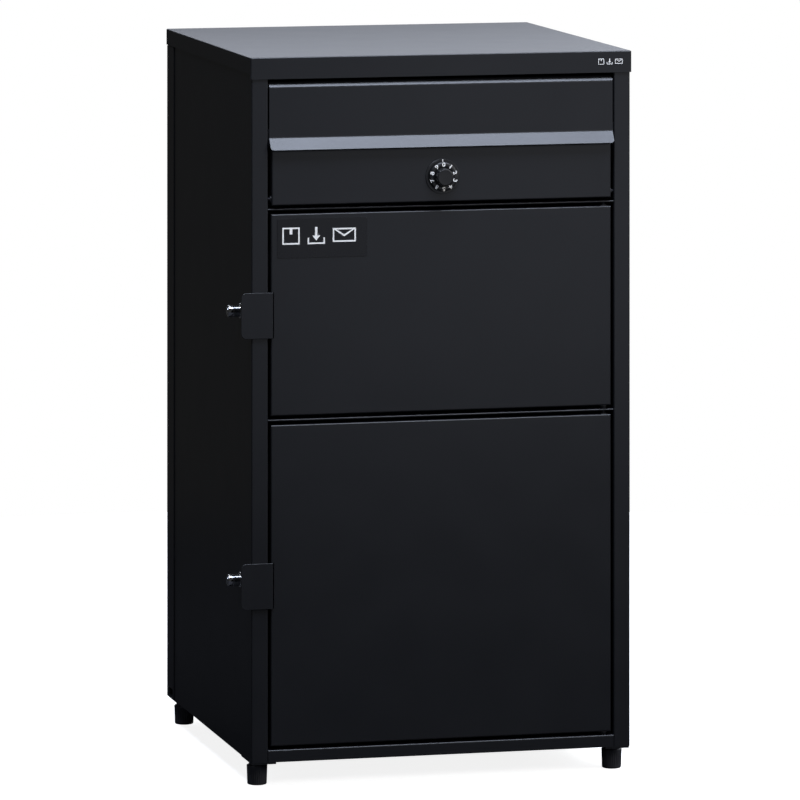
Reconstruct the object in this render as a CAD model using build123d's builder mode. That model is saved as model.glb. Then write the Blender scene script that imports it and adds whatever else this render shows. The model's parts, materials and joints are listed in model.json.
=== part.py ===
from build123d import *
import os
from math import atan2, cos, sin

# Two-door parcel drop box with a mail compartment on top.
# Frame: origin on the floor under the middle of the cabinet, front towards -Y, +Z up. Sizes in mm.

# ---------------------------------------------------------------- driving sizes
CABINET_W = 450.0        # across the side panels
CABINET_D = 460.0        # stile face to rear flange
FOOT_H = 29.5            # floor to the cabinet's underside
RAIL_H = 14.0            # bottom rail below the lower door
LOWER_BAY_H = 378.0      # base floor to middle shelf
UPPER_BAY_H = 241.4      # middle shelf to mail floor
MAIL_BAY_H = 173.6       # mail floor to the top of the cover

SHEET = 1.0              # steel sheet
BEND = 1.5               # outside radius of a fold
HEM = 2.0                # folded front edge of a shelf
HEM_ROUND = 0.9
STILE_W = 19.5           # front face of a stile
STILE_RETURN = 14.0      # stile flange that runs back into the cabinet
REAR_FLANGE = 18.0       # side panel flange behind the cabinet
SHELF_FLANGE = 15.0      # shelf edges folded down
FIT = 0.2                # gap between a fixed sheet and what it sits between

COVER_FRONT_DROP = 25.0  # cover flange in front
COVER_SIDE_DROP = 19.0   # cover flange on the sides and behind
COVER_GAP = 0.5          # cover flange to cabinet wall
COVER_SCREWS_X = (-150, 0, 150)
COVER_SCREW_R = 2.0
WRAP = 38.0              # back panel returns along the side panels
WRAP_GAP = 1.0           # their top edge below the cover
COVER_SCREW_HEAD_T = 1.6
WIRE_SLOT = (20.0, 8.5)  # slot for a security wire, low at the back of the left side
WIRE_SLOT_UP = 3.5       # above the underside
WIRE_SLOT_IN = 12.0      # in front of the back

DOOR_GAP = 3.4           # door edge to stile
DOOR_DEPTH = 12.0        # folded depth of a parcel door
DOOR_TOP_GAP = 4.3       # shelf hem to the door top below it
DOOR_FOOT_GAP = 4.2      # shelf or base to the door bottom above it
DOOR_LIP = 5.0           # rear lip round a door
PIVOT_BACK = 5.0         # pivot axis behind the front face
SWING_GAP = 0.8          # least gap between a turning door's rear edge and the frame
PIN_R = 2.5              # hinge pins and flap rod
PIN_HEAD = 0.9           # head of a mail hinge pin past its shank, all round
PIN_END = 3.0            # pin past the bush or the sheet that holds it
MAIL_PIN_HEAD_T = 2.0
RUNNING = 0.06           # radial running clearance
PRESS_HOLE = 0.05        # radial room of a fixed pin in its hole
BUSH_WALL = 1.0
BUSH_BRIM = 0.9          # bush flange past its body
BUSH_FLANGE_T = 1.0
BUSH_L = 6.0             # bush body inside the door
END_PLAY = 0.4           # between a bush flange and a collar
STIFFENER = (36.0, 14.0, 8.0)  # hat section: crown width, width of each brim, depth
STIFFENER_GAP = 1.0      # stiffener's end to the door's rear lip
CATCH_SIZE = (11.0, 12.0, 30.0)   # magnetic catch, width, depth and height
MAGNET_SIZE = (6.5, 6.0, 22.0)
CATCH_GAP = 0.4          # magnet to the closed door's rear lip
CATCH_SIDE_GAP = 1.4     # catch to the stile's flange
CATCH_DOWN = 60.0        # catch below a door's top
CATCH_LEG = 16.0         # bracket's leg on the side panel

LOCK_BACK = 54.0         # lock axis behind the front face
LOCK_STROKE = 9.0
PLUNGER_R = 7.0
PLUNGER_L = 20.0
PLUNGER_OUT = 16.0       # plunger tip out of the side panel
CORE_R = 4.5
CORE_OUT = 0.8
CORE_L = 14.0
CORE_BORE_END = 0.2      # bore behind the core
KEYWAY = (1.2, 6.0, 9.2)      # width, height and depth
LOCK_EDGE = 0.5          # bevel on the flange and the plunger
BOLT_R = 4.0
BOLT_EDGE = 0.8
BOLT_SHORT = 5.8         # bolt tip to the strike while the lock is open
BARREL_R = 8.0
BOLT_PROUD = 0.5         # bolt tip past the barrel while the lock is open
NOSE_T = 2.5
LOCK_FLANGE_R = 9.0
LOCK_FLANGE_T = 2.0
NUT_T = 3.0
NUT_ACROSS = 22.0
SPRING_WIRE_R = 0.6
SPRING_TURNS = 4.5
SPRING_END_GAP = 0.1     # spring's end to what it pushes on
STRIKE_T = 2.0
STRIKE_H = 32.0
STRIKE_FOOT = 20.0
STRIKE_TAIL = 9.0        # strike behind the lock's axis
STRIKE_ROUND = 6.0
STRIKE_INSET = 5.4       # strike plate in from the door's left edge
STRIKE_HOLE_GAP = 0.5    # strike's hole round the bolt

TAB_H = 52.4             # finger tab
TAB_T = 2.0
TAB_OUT = 12.4           # tab past the cabinet's side
TAB_ROUND = 6.0
TAB_EDGE = 0.4           # softened edge of its face
TAB_LIFT = 0.3           # tab in front of the stile
TAB_LEG = 4.4            # tab's foot on the door's rear lip
TAB_SLOT_GAP = 1.6       # slot in the door's skin beside the tab's leg

FLAP_GAP = 1.5           # flap end to stile
FLAP_T = 1.2
FLAP_TOP_GAP = 3.7       # cover flange to the flap's rolled top
FLAP_H = 63.5            # rolled top to the start of the lip
FLAP_SLOPE = (3.0, 4.5)  # slope between the roll and the flap's face: its run and its height
LIP_DROP = 13.6
LIP_OUT = 9.0
LIP_ROUND = 4.0
LIP_BEND = 3.0

MAIL_DOOR_GAP = 4.0
MAIL_DOOR_FOOT = 3.8     # mail floor to the mail door
MAIL_DOOR_H = 63.4
MAIL_DOOR_PROUD = 2.0
MAIL_DOOR_DEPTH = 14.0
SILL_TOP = 90.6          # slot sill above the mail floor
SILL_TOP_DEPTH = 11.5    # its top edge, folded back
SILL_LEDGE_GAP = 3.4     # ledge above the mail door
SILL_FOOT = 43.6         # bottom edge of the latch keeper
SILL_BACK = 15.0         # keeper behind the front face
BUMPER_R = 3.5           # rubber bumpers behind the flap
BUMPER_T = 1.0
BUMPER_GAP = 0.3
BUMPER_DOWN = 6.0        # below the sill's top edge
BUMPERS_X = (-150, 150)
DIAL_UP = 32.9           # dial axis above the mail floor

DIAL_R = 16.8
DIAL_T = 4.5
DIAL_EDGE = 1.2          # bevel round the dial's face
DIAL_GAP = 0.3           # dial to its base plate
KNOB_R = 10.2
KNOB_T = 9.0
KNOB_EDGE = 1.5
BASE_R = 20.2
BASE_T = 1.2
BASE_EDGE = 0.4
SPINDLE_R = 3.0
SPINDLE_IN_KNOB = 7.8
SPINDLE_IN_CASE = 7.0
SPINDLE_END_GAP = 0.2    # between the spindle's end and the bottom of its hole
SPINDLE_HOLE_GAP = 1.0   # round it in the door's skin
CASE_W = 38.0
CASE_T = 12.0
CASE_ROUND = 3.0
CASE_SCREWS_X = (-14, 14)
CASE_SCREW_HEAD = (2.6, 1.4)  # radius and thickness
CAM_L = 27.0
CAM_W = 12.0
CAM_T = 2.0
CAM_HUB_R = 4.0
CAM_HUB_IN = 4.8         # hub inside the lock case
CAM_GAP = 0.5            # cam behind the keeper
CAM_SCREW_R = 1.5
CAM_SCREW_L = 5.5
CAM_SCREW_HEAD = (3.6, 2.0)   # radius and thickness

FOOT_X_INSET = 13.5
FOOT_Y_INSET = 31.0
FOOT_R = 11.2
FOOT_TOP_R = 12.0
FOOT_EDGE = 1.0          # bevel at the pad's two ends
PAD_H = 22.5
COLLAR_R = 9.5
COLLAR_H = 3.0
STUD_R = 4.0
STUD_Z = (8.0, 39.0)     # stud's ends above the floor
STUD_EDGE = 0.8
FOOT_NUT = (13.0, 6.0)   # across flats and thickness
BRACKET_T = 2.0
BRACKET = (28.0, 58.0)
BRACKET_HOLE_GAP = 0.3   # round the stud
ANCHOR_R = 5.0
ANCHOR_X = 300.0         # floor anchor holes, hole to hole
ANCHOR_Y = 300.0

NOTICE = (106.0, 45.0, 0.4)  # sticker plate on the upper door
NOTICE_INSET = (7.2, 5.5)    # in from the door's left edge and down from its top
NOTICE_ROUND = 1.5
THROUGH = 1.0            # a cutter past each face that it cuts


def pivot_inset(reach, gap):
    """How far in from a door's edge its pivot stands, so that the corner reach behind it clears the frame."""
    room = gap - SWING_GAP
    return (reach**2 - room**2) / (2 * room)


# ---------------------------------------------------------------- derived places
HALF_W = CABINET_W / 2
FRONT = -CABINET_D / 2
BACK = CABINET_D / 2
TRAY_Z = FOOT_H + RAIL_H
SHELF_Z = TRAY_Z + LOWER_BAY_H
MAIL_Z = SHELF_Z + UPPER_BAY_H
TOP_Z = MAIL_Z + MAIL_BAY_H
WALL_TOP = TOP_Z - SHEET
STILE_X = HALF_W - STILE_W
DOOR_X = STILE_X - DOOR_GAP
PIVOT_X = DOOR_X - pivot_inset(DOOR_DEPTH - PIVOT_BACK, DOOR_GAP)
PIVOT_Y = FRONT + PIVOT_BACK
BUSH_R = PIN_R + BUSH_WALL
BUSH_FLANGE_R = BUSH_R + BUSH_BRIM
SHELF_X = HALF_W - SHEET - FIT / 2    # shelf edge, half width
SHELF_FRONT_X = STILE_X - FIT         # its front edge, between the stiles
SHELF_FRONT = FRONT + STILE_RETURN + FIT
SHELF_REAR = BACK - SHEET - FIT / 2
SHELF_SHY = 0.6                       # shelf edges behind the front face
SHELF_LAP = 4.0                       # front edge under the board behind it
LOWER_DOOR = (TRAY_Z + DOOR_FOOT_GAP, SHELF_Z - HEM - DOOR_TOP_GAP)
UPPER_DOOR = (SHELF_Z + DOOR_FOOT_GAP, MAIL_Z - HEM - DOOR_TOP_GAP)
LOCK_Y = FRONT + LOCK_BACK
PLUNGER_TIP = -HALF_W - PLUNGER_OUT
PLUNGER_END = PLUNGER_TIP + PLUNGER_L
STRIKE_X = -DOOR_X + STRIKE_INSET
BOLT_TIP = STRIKE_X - BOLT_SHORT
BARREL_L = HALF_W + BOLT_TIP - BOLT_PROUD   # barrel inside the panel's outer face
FLAP_TOP = TOP_Z - COVER_FRONT_DROP - FLAP_TOP_GAP
CURL_R = PIN_R + RUNNING + FLAP_T
SLOPE_ANGLE = atan2(*FLAP_SLOPE)
ROD_Y = FRONT + FLAP_SLOPE[0] + CURL_R * cos(SLOPE_ANGLE)
ROD_Z = FLAP_TOP - CURL_R
MAIL_DOOR_Z = MAIL_Z + MAIL_DOOR_FOOT
MAIL_DOOR_X = STILE_X - MAIL_DOOR_GAP
MAIL_FRONT = FRONT - MAIL_DOOR_PROUD
MAIL_REAR = MAIL_FRONT + MAIL_DOOR_DEPTH
MAIL_PIVOT_Z = MAIL_DOOR_Z + pivot_inset(MAIL_REAR - PIVOT_Y, MAIL_DOOR_FOOT)
SILL_LEDGE_Z = MAIL_DOOR_Z + MAIL_DOOR_H + SILL_LEDGE_GAP
SILL_FACE = FRONT + FLAP_T + BUMPER_GAP + BUMPER_T
DIAL_Z = MAIL_Z + DIAL_UP
FOOT_X = HALF_W - FOOT_X_INSET
FOOT_Y = BACK - FOOT_Y_INSET
SIDES = {"left": -1, "right": 1}


# ---------------------------------------------------------------- helpers
def mid(span):
    """The middle of a (low, high) pair."""
    return (span[0] + span[1]) / 2


def centred(middle, size):
    """The (low, high) pair of this size about its middle."""
    return (middle - size / 2, middle + size / 2)


def block(x, y, z, mode=Mode.ADD):
    """A box between the (low, high) pairs x, y and z."""
    with Locations((mid(x), mid(y), mid(z))):
        Box(x[1] - x[0], y[1] - y[0], z[1] - z[0], mode=mode)


def bar(start, direction, length, radius, mode=Mode.ADD):
    """A round bar, or a round hole with Mode.SUBTRACT."""
    with BuildSketch(Plane(origin=start, z_dir=direction)) as section:
        Circle(radius)
    extrude(section.sketch, amount=length, mode=mode)


def hexagon(start, direction, length, across):
    """A hexagonal nut blank, across flats."""
    with BuildSketch(Plane(origin=start, z_dir=direction)) as section:
        RegularPolygon(across / 2, 6, major_radius=False)
    extrude(section.sketch, amount=length)


def folded(plane, points, inside, length, thickness=SHEET, radius=BEND):
    """A sheet folded along the points, its thickness on the inside, extruded along the plane's normal."""
    with BuildSketch(plane) as section:
        with BuildLine() as line:
            FilletPolyline(*points, radius=radius)
            offset(amount=thickness, side=inside)
        make_face(line.edges())
    extrude(section.sketch, amount=length)


def facing_front(y):
    """The upright plane at this depth, seen from the front: local x is X and local y is Z."""
    return Plane.XZ.offset(-y)


def facing_side(x):
    """The upright plane at this width: local x is Y and local y is Z."""
    return Plane.YZ.offset(x)


def save(builder, label):
    builder.part.label = label
    export_step(builder.part, f"parts/{label}.step")


os.makedirs("parts", exist_ok=True)


# ---------------------------------------------------------------- cabinet
def side_panel(side):
    """Side sheet folded into a front stile and a rear flange. side is -1 on the left, 1 on the right."""
    inside = Side.RIGHT if side < 0 else Side.LEFT
    outline = [
        (side * STILE_X, FRONT + STILE_RETURN),
        (side * STILE_X, FRONT),
        (side * HALF_W, FRONT),
        (side * HALF_W, BACK),
        (side * (HALF_W - REAR_FLANGE), BACK),
    ]
    with BuildPart() as panel:
        folded(Plane.XY.offset(FOOT_H), outline, inside, WALL_TOP - FOOT_H)
        through_sheet = SHEET + 2 * THROUGH
        for y, z in ((ROD_Y, ROD_Z), (PIVOT_Y, MAIL_PIVOT_Z)):
            start = (side * (STILE_X - THROUGH), y, z)
            bar(start, (side, 0, 0), through_sheet, PIN_R + PRESS_HOLE, Mode.SUBTRACT)
        if side < 0:
            for z in map(mid, (LOWER_DOOR, UPPER_DOOR)):
                start = (-HALF_W - THROUGH, LOCK_Y, z)
                bar(start, (1, 0, 0), through_sheet, BARREL_R + PRESS_HOLE, Mode.SUBTRACT)
            wire_slot(Mode.SUBTRACT)
    return panel


def wire_slot(mode):
    """The opening for a security wire near the left rear foot, through every sheet on that side."""
    length, height = WIRE_SLOT
    rear, low = BACK - WIRE_SLOT_IN, FOOT_H + WIRE_SLOT_UP
    sheets = (-HALF_W - SHEET - THROUGH, -SHELF_X + SHEET + THROUGH)
    block(sheets, (rear - length, rear), (low, low + height), mode)


for name, side in SIDES.items():
    save(side_panel(side), f"{name}_side_panel")

with BuildPart() as back_panel:
    outline = [
        (-HALF_W - SHEET, BACK - WRAP),
        (-HALF_W - SHEET, BACK + SHEET),
        (HALF_W + SHEET, BACK + SHEET),
        (HALF_W + SHEET, BACK - WRAP),
    ]
    wrap_top = TOP_Z - COVER_SIDE_DROP - WRAP_GAP
    folded(Plane.XY.offset(FOOT_H), outline, Side.RIGHT, wrap_top - FOOT_H)
    block((-HALF_W + FIT, HALF_W - FIT), (BACK, BACK + SHEET), (wrap_top, WALL_TOP))
    wire_slot(Mode.SUBTRACT)
save(back_panel, "back_panel")

with BuildPart() as top_cover:
    side_x = HALF_W + COVER_GAP + SHEET
    front_y = FRONT - COVER_GAP - SHEET
    back_y = BACK + COVER_GAP + 2 * SHEET
    block((-side_x, side_x), (front_y, back_y), (TOP_Z - COVER_FRONT_DROP, TOP_Z))
    fillet(top_cover.edges().filter_by(Axis.Z), BEND)
    fillet(top_cover.faces().sort_by(Axis.Z)[-1].edges(), BEND)
    offset(amount=-SHEET, openings=top_cover.faces().sort_by(Axis.Z)[0])
    # the side and rear flanges are shorter than the front one
    low = (TOP_Z - COVER_FRONT_DROP - THROUGH, TOP_Z - COVER_SIDE_DROP)
    behind_flange = (front_y + SHEET, back_y + THROUGH)
    block((-side_x - THROUGH, side_x + THROUGH), behind_flange, low, Mode.SUBTRACT)
    screw_z = TOP_Z - COVER_SIDE_DROP / 2
    for x in COVER_SCREWS_X:
        hole = (x, back_y - SHEET - THROUGH, screw_z)
        bar(hole, (0, 1, 0), SHEET + 2 * THROUGH, COVER_SCREW_R + PRESS_HOLE, Mode.SUBTRACT)
save(top_cover, "top_cover")

with BuildPart() as cover_screws:
    for x in COVER_SCREWS_X:
        bar((x, back_y, screw_z), (0, 1, 0), COVER_SCREW_HEAD_T, 2 * COVER_SCREW_R)
        bar((x, BACK + SHEET, screw_z), (0, 1, 0), COVER_GAP + SHEET, COVER_SCREW_R)
save(cover_screws, "cover_screws")


def shelf(top_z):
    """A full-width shelf: hemmed front edge between the stiles, flanges down at the sides and back."""
    with BuildPart() as board:
        block((-SHELF_X, SHELF_X), (SHELF_FRONT, SHELF_REAR), (top_z - SHELF_FLANGE, top_z))
        fillet(board.edges().filter_by(Axis.Z).group_by(Axis.Y)[-1], BEND)
        block(
            (-SHELF_X + SHEET, SHELF_X - SHEET),
            (SHELF_FRONT - THROUGH, SHELF_REAR - SHEET),
            (top_z - SHELF_FLANGE - THROUGH, top_z - SHEET),
            Mode.SUBTRACT,
        )
        hem = (top_z - HEM, top_z)
        block((-SHELF_FRONT_X, SHELF_FRONT_X), (FRONT + SHELF_SHY, SHELF_FRONT + SHELF_LAP), hem)
        fillet(board.faces().sort_by(Axis.Y)[0].edges().filter_by(Axis.X), HEM_ROUND)
        hole = (PIVOT_X, PIVOT_Y, top_z - HEM - THROUGH)
        bar(hole, (0, 0, 1), HEM + 2 * THROUGH, PIN_R + PRESS_HOLE, Mode.SUBTRACT)
    return board


save(shelf(SHELF_Z), "middle_shelf")
save(shelf(MAIL_Z), "mail_floor")

with BuildPart() as base_tray:
    height = (FOOT_H, TRAY_Z)
    block((-SHELF_X, SHELF_X), (SHELF_FRONT, SHELF_REAR), height)
    fillet(base_tray.edges().filter_by(Axis.Z).group_by(Axis.Y)[-1], BEND)
    block((-SHELF_FRONT_X, SHELF_FRONT_X), (FRONT, SHELF_FRONT + SHELF_LAP), height)
    fillet(base_tray.faces().sort_by(Axis.Y)[0].edges().group_by(Axis.Z)[-1], BEND)
    below = (FOOT_H - THROUGH, TRAY_Z - SHEET)
    rear_hollow = (SHELF_FRONT + SHEET, SHELF_REAR - SHEET)
    block((-SHELF_X + SHEET, SHELF_X - SHEET), rear_hollow, below, Mode.SUBTRACT)
    front_hollow = (FRONT + SHEET, SHELF_FRONT + 2 * SHEET)
    block((-SHELF_FRONT_X + SHEET, SHELF_FRONT_X - SHEET), front_hollow, below, Mode.SUBTRACT)
    bar((PIVOT_X, PIVOT_Y, FOOT_H), (0, 0, 1), RAIL_H + THROUGH, PIN_R + PRESS_HOLE, Mode.SUBTRACT)
    with BuildSketch(Plane.XY.offset(FOOT_H)) as anchors:
        with GridLocations(ANCHOR_X, ANCHOR_Y, 2, 2):
            Circle(ANCHOR_R)
    extrude(amount=RAIL_H + THROUGH, mode=Mode.SUBTRACT)
    wire_slot(Mode.SUBTRACT)
save(base_tray, "base_tray")

with BuildPart() as slot_sill:
    # from the rolled-back top edge down behind the flap, over the mail door, and down as the latch keeper
    outline = [
        (SILL_FACE + SILL_TOP_DEPTH, MAIL_Z + SILL_TOP),
        (SILL_FACE, MAIL_Z + SILL_TOP),
        (SILL_FACE, SILL_LEDGE_Z),
        (FRONT + SILL_BACK, SILL_LEDGE_Z),
        (FRONT + SILL_BACK, MAIL_Z + SILL_FOOT),
    ]
    folded(facing_side(-STILE_X), outline, Side.LEFT, 2 * STILE_X)
save(slot_sill, "slot_sill")

with BuildPart() as flap_bumpers:
    for x in BUMPERS_X:
        bar((x, SILL_FACE, MAIL_Z + SILL_TOP - BUMPER_DOWN), (0, -1, 0), BUMPER_T, BUMPER_R)
save(flap_bumpers, "flap_bumpers")

with BuildPart() as flap_rod:
    half = STILE_X + SHEET + PIN_END
    bar((-half, ROD_Y, ROD_Z), (1, 0, 0), 2 * half, PIN_R)
save(flap_rod, "flap_rod")

with BuildPart() as mail_hinge_pins:
    for side in SIDES.values():
        head = (side * (STILE_X + SHEET), PIVOT_Y, MAIL_PIVOT_Z)
        bar(head, (-side, 0, 0), SHEET + MAIL_DOOR_GAP + BUSH_L + PIN_END, PIN_R)
        bar(head, (side, 0, 0), MAIL_PIN_HEAD_T, PIN_R + PIN_HEAD)
save(mail_hinge_pins, "mail_hinge_pins")

with BuildPart() as pivot_pins:
    # three pins: bottom, middle (shared by the two doors) and top, with a collar under each door
    reach = BUSH_L + PIN_END
    ends = [
        (TRAY_Z - PIN_END, LOWER_DOOR[0] + reach),
        (LOWER_DOOR[1] - reach, UPPER_DOOR[0] + reach),
        (UPPER_DOOR[1] - reach, MAIL_Z),
    ]
    for low, high in ends:
        bar((PIVOT_X, PIVOT_Y, low), (0, 0, 1), high - low, PIN_R)
    for floor in (TRAY_Z, SHELF_Z):
        bar((PIVOT_X, PIVOT_Y, floor), (0, 0, 1), DOOR_FOOT_GAP - BUSH_FLANGE_T - END_PLAY, BUSH_FLANGE_R)
save(pivot_pins, "pivot_pins")

# ---------------------------------------------------------------- door catches
CATCH_X = -STILE_X + SHEET + CATCH_SIDE_GAP + CATCH_SIZE[0] / 2
CATCH_Y = FRONT + DOOR_DEPTH + CATCH_GAP
CATCH_ZS = [door[1] - CATCH_DOWN for door in (LOWER_DOOR, UPPER_DOOR)]

with BuildPart() as door_catches:
    for z in CATCH_ZS:
        block(centred(CATCH_X, CATCH_SIZE[0]), (CATCH_Y, CATCH_Y + CATCH_SIZE[1]), centred(z, CATCH_SIZE[2]))
        seat = (CATCH_Y - THROUGH, CATCH_Y + MAGNET_SIZE[1])
        block(centred(CATCH_X, MAGNET_SIZE[0]), seat, centred(z, MAGNET_SIZE[2]), Mode.SUBTRACT)
save(door_catches, "door_catches")

with BuildPart() as catch_magnets:
    for z in CATCH_ZS:
        depth = (CATCH_Y, CATCH_Y + MAGNET_SIZE[1])
        block(centred(CATCH_X, MAGNET_SIZE[0]), depth, centred(z, MAGNET_SIZE[2]))
save(catch_magnets, "catch_magnets")

with BuildPart() as catch_brackets:
    for z in CATCH_ZS:
        plate_y = CATCH_Y + CATCH_SIZE[1]
        wall = -HALF_W + SHEET
        height = centred(z, CATCH_SIZE[2])
        block((wall, CATCH_X + CATCH_SIZE[0] / 2), (plate_y, plate_y + SHEET), height)
        block((wall, wall + SHEET), (plate_y, plate_y + CATCH_LEG), height)
save(catch_brackets, "catch_brackets")


# ---------------------------------------------------------------- push locks
def lock_barrel(z):
    """The fixed barrel: flange outside the panel, body inside it, and bores for the plunger and the bolt."""
    face = -HALF_W - LOCK_FLANGE_T
    whole = LOCK_FLANGE_T + BARREL_L
    with BuildPart() as barrel:
        bar((-HALF_W, LOCK_Y, z), (-1, 0, 0), LOCK_FLANGE_T, LOCK_FLANGE_R)
        chamfer(barrel.faces().sort_by(Axis.X)[0].edges(), LOCK_EDGE)
        bar((-HALF_W, LOCK_Y, z), (1, 0, 0), BARREL_L, BARREL_R)
        bar((face, LOCK_Y, z), (1, 0, 0), whole - NOSE_T, PLUNGER_R + RUNNING, Mode.SUBTRACT)
        bar((face, LOCK_Y, z), (1, 0, 0), whole + THROUGH, BOLT_R + RUNNING, Mode.SUBTRACT)
    return barrel


def lock_nut(z):
    """The hexagonal nut that holds the barrel from inside."""
    with BuildPart() as nut:
        hexagon((-HALF_W + SHEET, LOCK_Y, z), (1, 0, 0), NUT_T, NUT_ACROSS)
        bar((-HALF_W, LOCK_Y, z), (1, 0, 0), SHEET + NUT_T + THROUGH, BARREL_R, Mode.SUBTRACT)
    return nut


def lock_plunger(z):
    """The cylinder that is pushed in to lock, with a bore for the key core."""
    with BuildPart() as plunger:
        bar((PLUNGER_TIP, LOCK_Y, z), (1, 0, 0), PLUNGER_L, PLUNGER_R)
        chamfer(plunger.faces().sort_by(Axis.X)[0].edges(), LOCK_EDGE)
        depth = CORE_L - CORE_OUT + CORE_BORE_END
        bar((PLUNGER_TIP, LOCK_Y, z), (1, 0, 0), depth, CORE_R + RUNNING, Mode.SUBTRACT)
    return plunger


def lock_core(z):
    """The key core, with its keyway."""
    tip = PLUNGER_TIP - CORE_OUT
    width, height, depth = KEYWAY
    with BuildPart() as core:
        bar((tip, LOCK_Y, z), (1, 0, 0), CORE_L, CORE_R)
        block((tip, tip + depth), centred(LOCK_Y, width), centred(z, height), Mode.SUBTRACT)
    return core


def lock_bolt(z):
    """The bolt that the plunger carries into the door's strike."""
    with BuildPart() as bolt:
        bar((PLUNGER_END, LOCK_Y, z), (1, 0, 0), BOLT_TIP - PLUNGER_END, BOLT_R)
        chamfer(bolt.faces().sort_by(Axis.X)[-1].edges(), BOLT_EDGE)
    return bolt


def lock_spring(z):
    """The coil spring round the bolt that pushes the plunger out again."""
    room = BARREL_L - HALF_W - NOSE_T - PLUNGER_END
    length = room - 2 * (SPRING_WIRE_R + SPRING_END_GAP)
    start = PLUNGER_END + SPRING_WIRE_R + SPRING_END_GAP
    with BuildPart() as spring:
        with BuildLine() as coil:
            radius = mid((PLUNGER_R, BOLT_R))
            Helix(length / SPRING_TURNS, length, radius, center=(start, LOCK_Y, z), direction=(1, 0, 0))
        with BuildSketch(Plane(origin=coil.line @ 0, z_dir=coil.line % 0)):
            Circle(SPRING_WIRE_R)
        sweep()
    return spring


for door_name, door in {"lower": LOWER_DOOR, "upper": UPPER_DOOR}.items():
    save(lock_barrel(mid(door)), f"{door_name}_lock_barrel")
    save(lock_nut(mid(door)), f"{door_name}_lock_nut")
    save(lock_plunger(mid(door)), f"{door_name}_lock_plunger")
    save(lock_core(mid(door)), f"{door_name}_lock_core")
    save(lock_bolt(mid(door)), f"{door_name}_lock_bolt")
    save(lock_spring(mid(door)), f"{door_name}_lock_spring")


# ---------------------------------------------------------------- parcel doors
def folded_pan(half_width, front, depth, z):
    """A door skin folded back on all four sides, with a lip round its rear."""
    with BuildPart() as pan:
        block((-half_width, half_width), (front, front + depth), z)
        fillet(pan.faces().sort_by(Axis.Y)[0].edges(), BEND)
        offset(amount=-SHEET, openings=pan.faces().sort_by(Axis.Y)[-1])
        width, height = 2 * half_width, z[1] - z[0]
        with BuildSketch(facing_front(front + depth)) as ring:
            with Locations((0, mid(z))):
                Rectangle(width, height)
                Rectangle(width - 2 * DOOR_LIP, height - 2 * DOOR_LIP, mode=Mode.SUBTRACT)
        extrude(amount=SHEET)
    return pan.part


def parcel_door(z):
    """The door skin with its two bush holes and the notch for the finger tab."""
    skin = folded_pan(DOOR_X, FRONT, DOOR_DEPTH, z)
    with BuildPart() as door:
        add(skin)
        height = z[1] - z[0] + 2 * THROUGH
        bar((PIVOT_X, PIVOT_Y, z[0] - THROUGH), (0, 0, 1), height, BUSH_R + PRESS_HOLE, Mode.SUBTRACT)
        block(
            (-DOOR_X - THROUGH, -DOOR_X + TAB_T + TAB_SLOT_GAP),
            (FRONT - THROUGH, FRONT + DOOR_DEPTH - SHEET),
            centred(mid(z), TAB_H + FIT),
            Mode.SUBTRACT,
        )
    return door


def door_stiffener(z):
    """A hat section up the middle of the door, welded to the skin."""
    skin = FRONT + SHEET
    crown, brim, depth = STIFFENER
    half = crown / 2
    outline = [
        (-half - brim, skin),
        (-half, skin),
        (-half, skin + depth),
        (half, skin + depth),
        (half, skin),
        (half + brim, skin),
    ]
    low, high = z[0] + DOOR_LIP + STIFFENER_GAP, z[1] - DOOR_LIP - STIFFENER_GAP
    with BuildPart() as hat:
        folded(Plane.XY.offset(low), outline, Side.LEFT, high - low)
    return hat


def door_tab(z):
    """The finger tab: a plate across the stile and past the cabinet's side, with a leg welded to the door."""
    face = FRONT - TAB_LIFT
    lip = FRONT + DOOR_DEPTH - SHEET
    height = centred(mid(z), TAB_H)
    with BuildPart() as tab:
        block((-HALF_W - TAB_OUT, -DOOR_X + TAB_T), (face - TAB_T, face), height)
        fillet(tab.edges().filter_by(Axis.Y).group_by(Axis.X)[0], TAB_ROUND)
        fillet(tab.faces().sort_by(Axis.Y)[0].edges(), TAB_EDGE)
        block((-DOOR_X, -DOOR_X + TAB_T), (face - TAB_T / 2, lip), height)
        block((-DOOR_X, -DOOR_X + TAB_LEG), (lip - TAB_T, lip), height)
    return tab


def door_strike(z):
    """The strike: a plate that reaches back beside the lock, with a hole for its bolt and a welded foot."""
    skin = FRONT + SHEET
    height = centred(mid(z), STRIKE_H)
    with BuildPart() as strike:
        block((STRIKE_X, STRIKE_X + STRIKE_T), (skin, LOCK_Y + STRIKE_TAIL), height)
        block((STRIKE_X, STRIKE_X + STRIKE_FOOT), (skin, skin + STRIKE_T), height)
        fillet(strike.edges().filter_by(Axis.X).group_by(Axis.Y)[-1], STRIKE_ROUND)
        hole = (STRIKE_X - THROUGH, LOCK_Y, mid(z))
        bar(hole, (1, 0, 0), STRIKE_T + 2 * THROUGH, BOLT_R + STRIKE_HOLE_GAP, Mode.SUBTRACT)
    return strike


def flanged_bush(mouth, direction):
    """One bush: flange outside the mouth of its hole, body inside. Call it inside a part."""
    outside = tuple(a - b * BUSH_FLANGE_T for a, b in zip(mouth, direction))
    bar(mouth, direction, BUSH_L, BUSH_R)
    bar(outside, direction, BUSH_FLANGE_T, BUSH_FLANGE_R)
    bar(outside, direction, BUSH_FLANGE_T + BUSH_L, PIN_R + RUNNING, Mode.SUBTRACT)


def door_bushes(z):
    """The two bushes that the door turns on, in its bottom and top edges."""
    with BuildPart() as bushes:
        flanged_bush((PIVOT_X, PIVOT_Y, z[0]), (0, 0, 1))
        flanged_bush((PIVOT_X, PIVOT_Y, z[1]), (0, 0, -1))
    return bushes


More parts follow.
